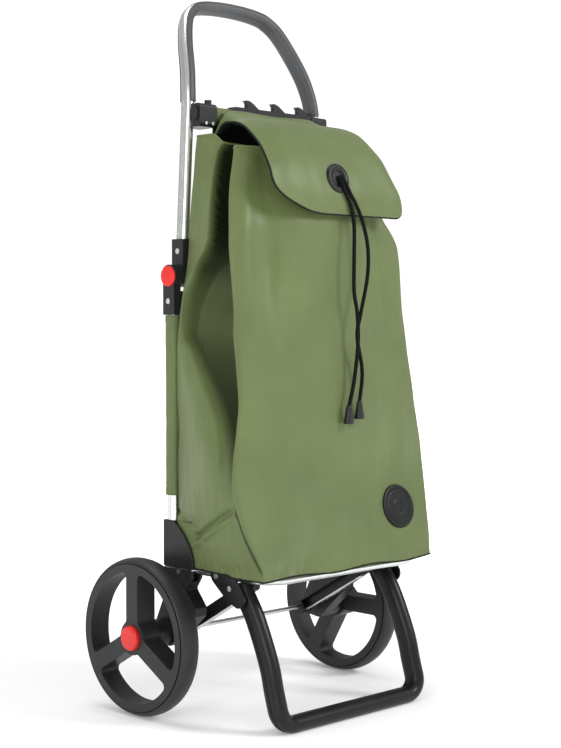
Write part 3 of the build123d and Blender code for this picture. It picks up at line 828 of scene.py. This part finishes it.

# painted shade: how dark the cloth is painted in the depth of the pleat folds, and along the tuck above the
# front's lower corners
depth_in = np.zeros((rows, cols))
for i, z in enumerate(heights):
    offsets = side_offsets(z, np.linspace(0, 1, SIDE_COLS))
    depth_in[i, right_start : right_start + SIDE_COLS] = offsets
    depth_in[i, left_start : left_start + SIDE_COLS] = offsets[::-1]

SHADE_Z = [290, 330, 390, 450, 500, 545, 590, 620, 660, 700, 790]
SHADE = [0.1, 0.7, 0.88, 0.84, 0.7, 0.42, 0.46, 0.76, 0.95, 0.97, 0.94]
strength = hermite(heights, SHADE_Z, SHADE)[:, None]
shade = smoothstep(-depth_in, 4, 18) * np.clip(strength, 0, 1)
# a painted dark line along the tuck, as shade in that crease
tuck_at = 0.91 + 0.08 * np.clip((304 - heights) / 84, 0, 1)[:, None]
tuck_on = (smoothstep(heights, 212, 226) * (1 - smoothstep(heights, 298, 308)))[:, None] * (share >= 0)
tuck = tuck_on * np.exp(-(((share - tuck_at) / 0.014) ** 2))
shade = np.maximum(shade, 0.85 * tuck)
# the right side shows only its outermost edge, where the painted shade fades out
lip_fade = 1 - smoothstep(heights, 480, 620)
right_lip = (smoothstep(share, 0.84, 0.93) * ~on_left)[None, :] * lip_fade[:, None]
shade = shade * (1 - right_lip)

inner = bag - normals * 1.6
bag_uv = grid_uv(bag)


def bag_piece(name, first, last):
    """Outer and inner cloth between two rows, joined at the mouth when the piece reaches it."""
    part_rows = last - first
    verts = np.vstack([bag[first:last].reshape(-1, 3), inner[first:last].reshape(-1, 3)])
    count = part_rows * cols
    faces = grid_faces(part_rows, cols, True, flip=True)
    faces += grid_faces(part_rows, cols, True, count)
    outer_count = (part_rows - 1) * cols
    if last == rows:
        top, under = (part_rows - 1) * cols, count + (part_rows - 1) * cols
        for c in range(cols):
            d = (c + 1) % cols
            faces.append((top + d, top + c, under + c, under + d))
    if first == 0:
        faces.append(tuple(range(cols)))
    uv = np.vstack([bag_uv[first:last].reshape(-1, 2)] * 2)
    obj = add_mesh(name, verts, faces, uvs=uv)
    mesh = obj.data
    mesh.materials.append(M["bag"])
    mesh.materials.append(M["lining"])
    material = np.zeros(len(mesh.polygons), int)
    material[outer_count : 2 * outer_count] = 1
    mesh.polygons.foreach_set("material_index", material)
    # the depth attribute carries the painted pleat shade to the outer cloth; the inner cloth gets none
    layer = mesh.color_attributes.new("depth", "FLOAT_COLOR", "POINT")
    values = np.concatenate([shade[first:last].ravel(), np.zeros(count)])
    layer.data.foreach_set("color", np.repeat(values[:, None], 4, axis=1).astype(np.float32).ravel())
    both = np.vstack([normals[first:last].reshape(-1, 3), -normals[first:last].reshape(-1, 3)])
    mesh.normals_split_custom_set_from_vertices([tuple(n) for n in both])
    return obj


split = int(np.argmin(np.abs(heights - SPLIT_Z)))
bag_low = bag_piece("bag_cloth_low", 0, split + 1)
bag_high = bag_piece("bag_cloth_high", split, rows)
for piece in (bag_low, bag_high):
    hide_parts("bag_body")
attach(bag_low, "lower_frame")
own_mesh(bag_low)
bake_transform(bag_high)


def binding(name, edge, count, radius):
    """Bound edge of the cloth along a row of the bag."""
    line = resample(np.vstack([edge, edge[:1]]), count)
    line[:, 2] -= 0.4
    return round_line(name, line, radius, 8, (0, 0, 1))


hem = binding("bag_bottom_binding", bag[0], 400, 1.2)
place(hem, "lower_frame", "piping", "dark_piping")
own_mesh(hem)
mouth = binding("bag_mouth_hem", bag[-1], 420, 1.3)
paint(mouth, "fabric")
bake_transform(mouth)

# panel that hangs the bag's back from the crossbar
hang_x = np.linspace(-93, 93, 48)
hang_z = np.linspace(770, 830, 18)
hanger = np.array([[(x, -29.8 - 1.2 * smoothstep(z, 790, 822) + 0.8 * math.sin(x / 17.0), z)
                    for x in hang_x] for z in hang_z])
panel_uv = grid_uv(hanger).reshape(-1, 2)
panel_faces = grid_faces(len(hang_z), len(hang_x), False)
panel = add_mesh("bag_back_hanger", hanger.reshape(-1, 3), panel_faces, uvs=panel_uv)
thicken = panel.modifiers.new("Thickness", "SOLIDIFY")
thicken.thickness = 1.8 * MM
thicken.material_offset = 1
paint(panel, "lining")
panel.data.materials.append(M["fabric"])
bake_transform(panel)

# ---- badge ----

BADGE_X, BADGE_Z, BADGE_R = 114, 282, 31
front_face = (bag[..., 1] < -150) & (np.hypot(bag[..., 0] - BADGE_X, bag[..., 2] - BADGE_Z) < BADGE_R)
badge_axis = unit(normals[front_face].mean(axis=0))
badge_place = bag[front_face].mean(axis=0)
badge_place = badge_place + badge_axis * (((bag[front_face] - badge_place) @ badge_axis).max() + 0.3)
BADGE_OUTLINE = [(0.1, -6), (31.2, -6), (31.6, 0.6), (30.6, 2.0), (28.4, 2.5), (26.6, 2.2),
                 (26.0, 1.3), (24.6, 1.2), (24.0, 2.0), (22.2, 2.3), (21.4, 1.5), (12, 1.6),
                 (11.2, 2.3), (9.6, 2.4), (9.0, 1.6), (0.1, 1.8)]
badge = lathe("badge_disc", BADGE_OUTLINE, badge_place, badge_axis, 72)
sharpen(badge, 40)
place(badge, "lower_frame", "badge", "badge_plastic", "badge")
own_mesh(badge)

# ---- cover flap ----

# side view (y, z) of the cover from the crossbar over the mouth and down the front
BAND = smooth_line([(-46.5, 843.5), (-62, 836), (-80, 830), (-112, 826.5), (-138, 815), (-163, 789),
                    (-180, 760), (-187.5, 737), (-190.5, 716), (-190.5, 695)], 300)
band_length = line_length(BAND)
FLAP_LENGTH = band_length[-1]


def flap_edges(s):
    """Left and right edge (x) of the flap at length s from the crossbar, with rounded front corners."""
    to_go = FLAP_LENGTH - s
    left = hermite(s, [0, 40, 90, 130, 170, FLAP_LENGTH], [-113, -122, -122, -121, -122, -120])
    right = hermite(s, [0, 60, 100, 146, 182, 209, FLAP_LENGTH], [118, 113, 111, 122, 130, 140, 143])
    round_left, round_right = (
        np.sqrt(np.clip(1 - (np.clip(r - to_go, 0, r) / r) ** 2, 0, 1)) for r in (52.0, 42.0)
    )
    return left + 92 * (1 - round_left), right - 30 * (1 - round_right)


# where the right side of the cover starts to curl round, by length from the crossbar
TURN_S = [0, 60, 100, 123, 146, 164, 182, 194, 209, 233]
TURN_X = [118, 104, 101, 104, 111, 114, 119, 125, 130, 132]


def flap_point(s, x):
    """A point of the cover: the side-view band, curled inward at its two sides and softly uneven."""
    y = np.interp(s, band_length, BAND[:, 0])
    z = np.interp(s, band_length, BAND[:, 1])
    ahead, behind = ([np.interp(s + step, band_length, BAND[:, k]) for k in (0, 1)] for step in (1, -1))
    heading = unit(np.array(ahead) - np.array(behind))
    inward = np.array([-heading[1], heading[0]])
    turn_x = float(hermite(s, TURN_S, TURN_X))
    curl = 9 * smoothstep(-x, 70, 124) ** 1.5 + 7.8 * math.log1p(math.exp((x - turn_x) / 6))
    droop = (44 * smoothstep(-x, 78, 118) + 26 * smoothstep(x, 84, 124)) * (1 - smoothstep(s, 4, 46))
    wave = 2.6 * noise.noise(Vector((x / 62, s / 70, 3.1)))
    wave += 0.8 * noise.noise(Vector((x / 22, s / 26, 8.4)))
    wave *= smoothstep(s, 5, 40)
    ripple = 1.6 * math.sin(x / 19.0 + 1.0) * (1 - smoothstep(s, 10, 70))
    curl += wave + ripple * 0.6
    return (x, y + inward[0] * curl, z + inward[1] * curl - droop)


# rows close up towards the rounded front edge
ROUNDED = 54
rounded_s = FLAP_LENGTH - ROUNDED * (1 - np.linspace(0, 1, 39)[1:]) ** 2
flap_s = np.concatenate([np.linspace(0, FLAP_LENGTH - ROUNDED, 58), rounded_s])
FLAP_ROWS, FLAP_COLS = len(flap_s), 110
flap_grid = np.zeros((FLAP_ROWS, FLAP_COLS, 3))
for i, s in enumerate(flap_s):
    left, right = (float(v) for v in flap_edges(s))
    for j, x in enumerate(np.linspace(left, right, FLAP_COLS)):
        flap_grid[i, j] = flap_point(min(s, FLAP_LENGTH - 0.01), x)
flap_normals = grid_normals(flap_grid, False, FLAP_ROWS // 3, FLAP_COLS // 2, 2)

GROMMET = np.array([-3.0, -185.8, 745.0])
HOLE_R = 11.5
near_hole = np.linalg.norm(flap_grid - GROMMET, axis=2)
flap_uv = grid_uv(flap_grid).reshape(-1, 2)
flap_faces = [f for f in grid_faces(FLAP_ROWS, FLAP_COLS, False)
              if min(near_hole.reshape(-1)[list(f)]) > HOLE_R]
for word, offset, key in (("cloth", 0.7, "fabric"), ("lining", -0.8, "lining")):
    sheet_points = flap_grid + flap_normals * offset
    sheet = add_mesh(f"flap_{word}", sheet_points.reshape(-1, 3), flap_faces, uvs=flap_uv)
    thicken = sheet.modifiers.new("Thickness", "SOLIDIFY")
    thicken.thickness = 1.2 * MM
    thicken.offset = 0
    place(sheet, "flap", key, "green_fabric", "bag_flap")

border = np.vstack([flap_grid[:, 0], flap_grid[-1, 1:-1], flap_grid[::-1, -1]])
border = resample(border, 520)
piping = round_line("flap_edge_piping", border, 1.5, 10, (0, -0.3, 1))
place(piping, "flap", "piping", "dark_piping", "flap_piping")

tilt = math.radians(13)  # the grommet faces forward and a little up
lean_axis = np.array([0, -math.cos(tilt), math.sin(tilt)])
GROMMET_OUTLINE = [(10.6, -3.4), (20.2, -3.4), (20.8, -1), (20.8, 1.6), (19.8, 3.1), (17.6, 3.8),
                   (13.8, 3.5), (11.6, 2.3), (10.6, 0.6)]
ring = lathe("grommet_ring", GROMMET_OUTLINE, GROMMET, lean_axis, 56)
sharpen(ring, 45)
place(ring, "flap", "badge", "black_plastic", "grommet")
# a dark disc behind the ring fills the hole with painted shade
hole = lathe("grommet_hole_painted_shade", [(0.1, -3.3), (11.0, -3.3), (11.0, -2.9), (0.1, -2.9)], GROMMET, lean_axis, 40)
place(hole, "flap", "lining", "dark_piping")

# ---- cords and their ends ----

CORDS = {
    "left": [(-2, -187, 748), (-1, -191, 742), (3, -194.5, 729), (14, -196.5, 706),
             (19.5, -197, 680), (19.7, -197, 640), (19.7, -197, 590), (26, -197, 560),
             (28, -197, 519), (20, -197, 465), (9, -197, 428)],
    "right": [(2, -186, 749), (5, -191.5, 743), (11, -196, 727), (26, -198, 704),
              (40, -198, 676), (48.5, -197, 645), (46.5, -197, 607), (32, -197, 554),
              (26, -197, 527), (36.5, -197, 478), (31, -197, 434)],
}
CORD_BACK = -187  # the cords come no closer to the bag than this
BELL_OUTLINE = [(2.6, 3), (3.8, 1.5), (4.2, -2), (4.9, -8), (6.1, -15), (7.2, -19), (7.4, -21.5),
                (6.6, -22.4), (0.2, -22.0)]
for word, points in CORDS.items():
    line = smooth_line(points, 220)
    line[:, 1] = np.minimum(line[:, 1], CORD_BACK)
    cord = round_line(f"draw_cord_{word}", line, 2.7)
    place(cord, "lower_frame", "cord", "cord", "draw_cords")
    bell = lathe(f"cord_end_{word}", BELL_OUTLINE, points[-1], (0, 0, 1), 28)
    sharpen(bell, 50)
    place(bell, "lower_frame", "black", "black_plastic", "cord_ends")

# ---- fabric sleeves ----

SLEEVE_ACROSS, SLEEVE_DEEP = 16.8, 22.8


def sleeve_profile():
    r = SLEEVE_ACROSS / 2
    flat = SLEEVE_DEEP / 2 - r
    top = [(r * math.cos(a), flat + r * math.sin(a)) for a in np.linspace(0, math.pi, 20)]
    return np.array(top + [(-x, -y) for x, y in top])


def sleeve(name, centres, side, up, body, node, seed):
    """Cloth sleeve round a tube with soft wrinkles and hemmed ends."""
    profile = sleeve_profile()
    around, lengths = len(profile), len(centres)
    points = np.zeros((lengths, around, 3))
    for i in range(lengths):
        edge = min(i, lengths - 1 - i)
        hem_lift = 0.5 if edge < 4 else (-0.2 if edge in (4, 5) else 0)
        for k, (a, b) in enumerate(profile):
            fold = noise.noise(Vector((a / 6 + seed, b / 6, i / 9))) * 0.5
            fold += noise.noise(Vector((a / 9, seed, i / 3.0))) * 0.25
            grow = 1 + (fold + hem_lift) / math.hypot(a, b)
            points[i, k] = centres[i] + side * a * grow + up * b * grow
    inner_points = centres[:, None, :] + (points - centres[:, None, :]) * 0.93
    both = np.vstack([points.reshape(-1, 3), inner_points.reshape(-1, 3)])
    count = lengths * around
    faces = grid_faces(lengths, around, True) + grid_faces(lengths, around, True, count, flip=True)
    for base in (0, (lengths - 1) * around):
        for c in range(around):
            d = (c + 1) % around
            quad = (base + d, base + c, count + base + c, count + base + d)
            faces.append(quad if base == 0 else quad[::-1])
    uv = np.vstack([grid_uv(points).reshape(-1, 2)] * 2)
    place(add_mesh(name, both, faces, uvs=uv), body, "fabric", "green_fabric", node)


ALONG_X, ALONG_Y, ALONG_Z = np.eye(3)
z = np.linspace(305, 556.5, 90)
for sign, word in SIDES:
    centres = upright_line(sign * FRAME_X, FRAME_Y, z)
    sleeve(f"tube_cover_{word}", centres, ALONG_X, ALONG_Y, "lower_frame", f"tube_sleeve_{word}", 3.7 * sign)
    seam = upright_line(sign * (FRAME_X - 1.0), FRAME_Y - 11.9, z)
    seam_line = round_line(f"tube_cover_seam_{word}", seam, 0.8, 8)
    place(seam_line, "lower_frame", "piping", "dark_piping")

x = np.linspace(-94, 94, 80)
centres = np.stack([x, np.full_like(x, -30.5), np.full_like(x, 838.0)], axis=1)
sleeve("crossbar_cover", centres, ALONG_Y, ALONG_Z, "upper_frame", "crossbar_sleeve", 9.3)

# ---- floor, light and camera ----

bpy.ops.mesh.primitive_plane_add(size=40, location=(0, 0, -0.0005))
floor = bpy.context.object
floor.name = "floor"
shader = Shader("floor_paper")
place_on_floor = shader.coords()
paper = shader.noise(place_on_floor, 3.0, 2.0)
tint = shader.ramp(paper, [(0.3, (0.93, 0.93, 0.93)), (0.7, (0.95, 0.95, 0.95))])
shader.feed("Base Color", tint)
shader.set(Roughness=0.9, Specular_IOR_Level=0.1, Emission_Color=(1, 1, 1, 1))
# it brightens to white away from the trolley, so no horizon shows
distance = shader.node("ShaderNodeVectorMath", operation="LENGTH")
shader.link(place_on_floor, distance.inputs[0])
glow = shader.node("ShaderNodeMapRange", interpolation_type="SMOOTHSTEP")
set_range(glow, 0.35, 2.2, 0.16, 1.0)
shader.link(distance.outputs["Value"], glow.inputs["Value"])
shader.feed("Emission Strength", glow.outputs["Result"])
floor.data.materials.append(shader.material)

# White surroundings: full white to the camera, softer as light, with a dark side for the metal to reflect
WORLD_LIGHT, WORLD_WHITE = 0.62, 1.1
world = bpy.data.worlds.new("studio")
bpy.context.scene.world = world
world.use_nodes = True
nodes, links = world.node_tree.nodes, world.node_tree.links
back = nodes["Background"]
back.inputs["Color"].default_value = (1, 1, 1, 1)
toward = nodes.new("ShaderNodeTexCoord")
across = nodes.new("ShaderNodeVectorMath")
across.operation = "DOT_PRODUCT"
across.inputs[1].default_value = (0.95, 0.3, 0)
flag = nodes.new("ShaderNodeMapRange")
set_range(flag, 0.72, 0.92, WORLD_LIGHT, 0.06)
rays = nodes.new("ShaderNodeLightPath")
level = nodes.new("ShaderNodeMapRange")
level.inputs["To Max"].default_value = WORLD_WHITE
links.new(toward.outputs["Generated"], across.inputs[0])
links.new(across.outputs["Value"], flag.inputs["Value"])
links.new(flag.outputs["Result"], level.inputs["To Min"])
links.new(rays.outputs["Is Camera Ray"], level.inputs["Value"])
links.new(level.outputs["Result"], back.inputs["Strength"])

LIT_POINT = (0, 0, 0.5)


def area_light(name, location, size, power):
    light = bpy.data.lights.new(name, "AREA")
    light.shape = "DISK"
    light.size = size
    light.energy = power
    obj = bpy.data.objects.new(name, light)
    bpy.context.collection.objects.link(obj)
    obj.location = location
    obj.rotation_euler = (Vector(LIT_POINT) - Vector(location)).to_track_quat("-Z", "Y").to_euler()


area_light("key", (1.6, -2.8, 2.4), 1.3, 74)
area_light("fill", (-2.9, -1.4, 1.3), 1.8, 32)
area_light("top", (-0.3, 0.5, 3.2), 1.6, 26)

CAMERA_PLACE = (-1.5613, -1.6550 + SHIFT[1] * MM, 0.5530)
CAMERA_TURN, CAMERA_DIP, LENS = -44.59, 2.09, 74.29
camera_data = bpy.data.cameras.new("camera")
camera_data.sensor_fit = "AUTO"
camera_data.sensor_width = 36
camera_data.lens = LENS
camera = bpy.data.objects.new("camera", camera_data)
bpy.context.collection.objects.link(camera)
camera.location = CAMERA_PLACE
camera.rotation_euler = (math.radians(90 - CAMERA_DIP), 0, math.radians(CAMERA_TURN))
bpy.context.scene.camera = camera
bpy.context.scene.view_settings.view_transform = "Standard"
